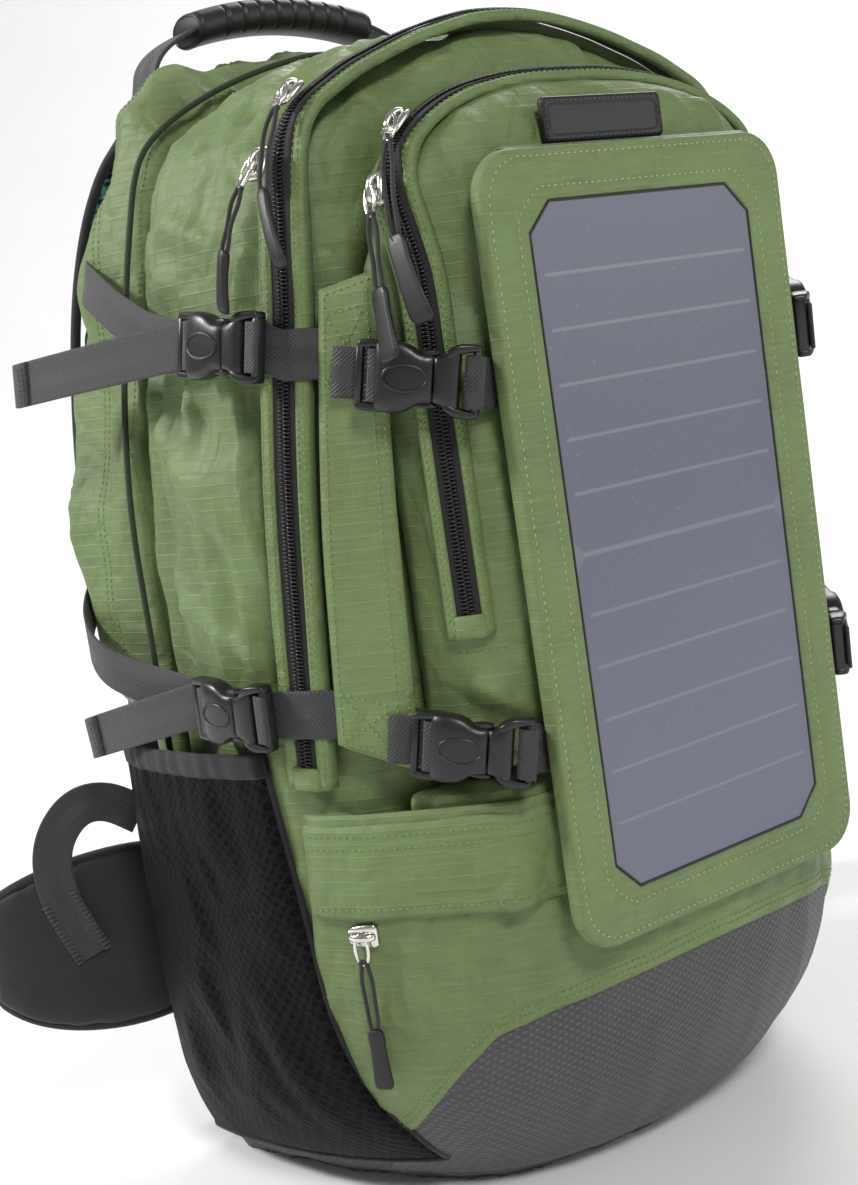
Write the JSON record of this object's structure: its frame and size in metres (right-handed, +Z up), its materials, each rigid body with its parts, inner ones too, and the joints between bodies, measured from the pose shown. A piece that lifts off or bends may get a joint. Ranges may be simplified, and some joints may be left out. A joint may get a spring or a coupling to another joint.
{
  "type": "solar backpack",
  "caption": "Hiking backpack with a flat solar panel hinged over its front pocket, buckled compression straps, zipped compartments, mesh side pockets, shoulder straps and a hip belt.",
  "frame": {"origin": "point on the flat bottom of the boot, midway across the bag and about midway between its front and back", "axes": "+Z up along the upright bag, -Y towards the solar panel, +X towards the bag's left when worn, which is the right-hand side seen from the front"},
  "size_m": [0.4204, 0.3393, 0.5483],
  "materials": {
    "green_ripstop": "ripstop nylon",
    "grey_ballistic": "coarse ballistic nylon",
    "black_webbing": "woven polyester webbing",
    "black_mesh": "open hexagonal mesh",
    "teal_air_mesh": "padded spacer mesh",
    "black_padding": "padded nylon",
    "black_acetal": "satin moulded acetal",
    "black_rubber": "moulded soft rubber",
    "solar_laminate": "frosted laminate over dark cells",
    "zip_coil": "nylon coil on woven tape",
    "nickel": "nickel plate"
  },
  "bodies": {
    "bag": {"base_boot": "grey_ballistic", "lower_pocket": "green_ripstop", "front_pocket": "green_ripstop", "main_compartment": "green_ripstop", "rear_compartment": "green_ripstop", "back_pad": "teal_air_mesh", "lower_pocket_flap": "green_ripstop", "label_patch": "black_rubber", "main_zip_track": "zip_coil", "front_zip_track": "zip_coil", "front_strap_upper": "black_webbing", "front_strap_lower": "black_webbing", "handle_webbing": "black_webbing", "side_wing_left": "green_ripstop", "mesh_pocket_left": "black_mesh", "lower_webbing_left": "black_webbing", "side_buckle_male_upper_left": "black_acetal", "corner_buckle_male_upper_left": "black_acetal", "rear_strap_upper_left": "black_webbing", "wing_strap_upper_left": "black_webbing", "side_buckle_male_lower_left": "black_acetal", "corner_buckle_male_lower_left": "black_acetal", "rear_strap_lower_left": "black_webbing", "wing_strap_lower_left": "black_webbing", "side_wing_right": "green_ripstop", "mesh_pocket_right": "black_mesh", "lower_webbing_right": "black_webbing", "side_buckle_male_upper_right": "black_acetal", "corner_buckle_male_upper_right": "black_acetal", "rear_strap_upper_right": "black_webbing", "wing_strap_upper_right": "black_webbing", "side_buckle_male_lower_right": "black_acetal", "corner_buckle_male_lower_right": "black_acetal", "rear_strap_lower_right": "black_webbing", "wing_strap_lower_right": "black_webbing"},
    "solar_panel": {"panel_frame": "green_ripstop", "solar_laminate": "solar_laminate", "junction_box": "black_acetal"},
    "side_buckle_female_upper_left": {"side_buckle_female_upper_left": "black_acetal"},
    "side_buckle_female_lower_left": {"side_buckle_female_lower_left": "black_acetal"},
    "corner_buckle_female_upper_left": {"corner_buckle_female_upper_left": "black_acetal"},
    "corner_buckle_female_lower_left": {"corner_buckle_female_lower_left": "black_acetal"},
    "side_buckle_female_upper_right": {"side_buckle_female_upper_right": "black_acetal"},
    "side_buckle_female_lower_right": {"side_buckle_female_lower_right": "black_acetal"},
    "corner_buckle_female_upper_right": {"corner_buckle_female_upper_right": "black_acetal"},
    "corner_buckle_female_lower_right": {"corner_buckle_female_lower_right": "black_acetal"},
    "main_zip_slider_upper": {"main_zip_slider_upper": "nickel"},
    "front_zip_slider_upper": {"front_zip_slider_upper": "nickel"},
    "main_zip_slider_lower": {"main_zip_slider_lower": "nickel"},
    "front_zip_slider_lower": {"front_zip_slider_lower": "nickel"},
    "lower_zip_slider": {"lower_zip_slider": "nickel"},
    "handle": {"handle_grip": "black_rubber"},
    "shoulder_strap_left": {"shoulder_pad_left": "black_padding", "ladder_lock_left": "black_acetal"},
    "shoulder_strap_right": {"shoulder_pad_right": "black_padding", "ladder_lock_right": "black_acetal"},
    "hip_left": {"hip_belt_left": "black_padding", "hip_buckle_female": "black_acetal"},
    "hip_right": {"hip_belt_right": "black_padding", "hip_buckle_male": "black_acetal"}
  },
  "joints": [
    {"name": "panel_lift", "type": "hinge", "parent": "bag", "child": "solar_panel", "pos_m": [0, -0.151, 0.4405], "axis": [-1, 0, 0], "range_deg": [0, 135]},
    {"name": "side_buckle_release_upper_left", "type": "slide", "parent": "bag", "child": "side_buckle_female_upper_left", "axis": [-0.16, 0.9797, 0.1211], "range_m": [0, 0.018], "deforming": ["rear_strap_upper_left"]},
    {"name": "side_buckle_release_lower_left", "type": "slide", "parent": "bag", "child": "side_buckle_female_lower_left", "axis": [-0.1097, 0.9926, 0.0523], "range_m": [0, 0.018], "deforming": ["rear_strap_lower_left"]},
    {"name": "corner_buckle_release_upper_left", "type": "slide", "parent": "bag", "child": "corner_buckle_female_upper_left", "axis": [-0.6652, 0.7171, 0.2079], "range_m": [0, 0.018], "deforming": ["wing_strap_upper_left"]},
    {"name": "corner_buckle_release_lower_left", "type": "slide", "parent": "bag", "child": "corner_buckle_female_lower_left", "axis": [-0.6676, 0.7196, 0.1908], "range_m": [0, 0.018], "deforming": ["wing_strap_lower_left"]},
    {"name": "side_buckle_release_upper_right", "type": "slide", "parent": "bag", "child": "side_buckle_female_upper_right", "axis": [0.16, 0.9797, 0.1211], "range_m": [0, 0.018], "deforming": ["rear_strap_upper_right"]},
    {"name": "side_buckle_release_lower_right", "type": "slide", "parent": "bag", "child": "side_buckle_female_lower_right", "axis": [0.1097, 0.9926, 0.0523], "range_m": [0, 0.018], "deforming": ["rear_strap_lower_right"]},
    {"name": "corner_buckle_release_upper_right", "type": "slide", "parent": "bag", "child": "corner_buckle_female_upper_right", "axis": [0.6652, 0.7171, 0.2079], "range_m": [0, 0.018], "deforming": ["wing_strap_upper_right"]},
    {"name": "corner_buckle_release_lower_right", "type": "slide", "parent": "bag", "child": "corner_buckle_female_lower_right", "axis": [0.6676, 0.7196, 0.1908], "range_m": [0, 0.018], "deforming": ["wing_strap_lower_right"]},
    {"name": "main_zip_upper_run", "type": "hinge", "parent": "bag", "child": "main_zip_slider_upper", "pos_m": [-0.046, -0.0835, 0.38], "axis": [0, 1, 0], "range_deg": [0, 18]},
    {"name": "front_zip_upper_run", "type": "hinge", "parent": "bag", "child": "front_zip_slider_upper", "pos_m": [-0.0446, -0.121, 0.396], "axis": [0, 1, 0], "range_deg": [0, 25]},
    {"name": "main_zip_lower_run", "type": "slide", "parent": "bag", "child": "main_zip_slider_lower", "axis": [-0.38, 0, -0.925], "range_m": [0, 0.01]},
    {"name": "front_zip_lower_run", "type": "slide", "parent": "bag", "child": "front_zip_slider_lower", "axis": [-0.2402, 0, -0.9707], "range_m": [0, 0.01]},
    {"name": "lower_zip_run", "type": "slide", "parent": "bag", "child": "lower_zip_slider", "axis": [0.4888, -0.8724, 0], "range_m": [0, 0.02]},
    {"name": "handle_fold", "type": "hinge", "parent": "bag", "child": "handle", "pos_m": [0, 0.082, 0.512], "axis": [-1, 0, 0], "range_deg": [0, 60], "stiffness_Nm_per_rad": 0.02, "deforming": ["handle_webbing"]},
    {"name": "shoulder_swing_left", "type": "hinge", "parent": "bag", "child": "shoulder_strap_left", "pos_m": [0, 0.111, 0.494], "axis": [1, 0, 0], "range_deg": [0, 35], "deforming": ["lower_webbing_left"]},
    {"name": "shoulder_swing_right", "type": "hinge", "parent": "bag", "child": "shoulder_strap_right", "pos_m": [0, 0.111, 0.494], "axis": [1, 0, 0], "range_deg": [0, 35], "deforming": ["lower_webbing_right"]},
    {"name": "hip_swing_left", "type": "hinge", "parent": "bag", "child": "hip_left", "pos_m": [-0.098, 0.114, 0.1], "axis": [0, 0, 1], "range_deg": [0, 20]},
    {"name": "hip_swing_right", "type": "hinge", "parent": "bag", "child": "hip_right", "pos_m": [0.098, 0.114, 0.1], "axis": [0, 0, -1], "range_deg": [0, 20]}
  ]
}
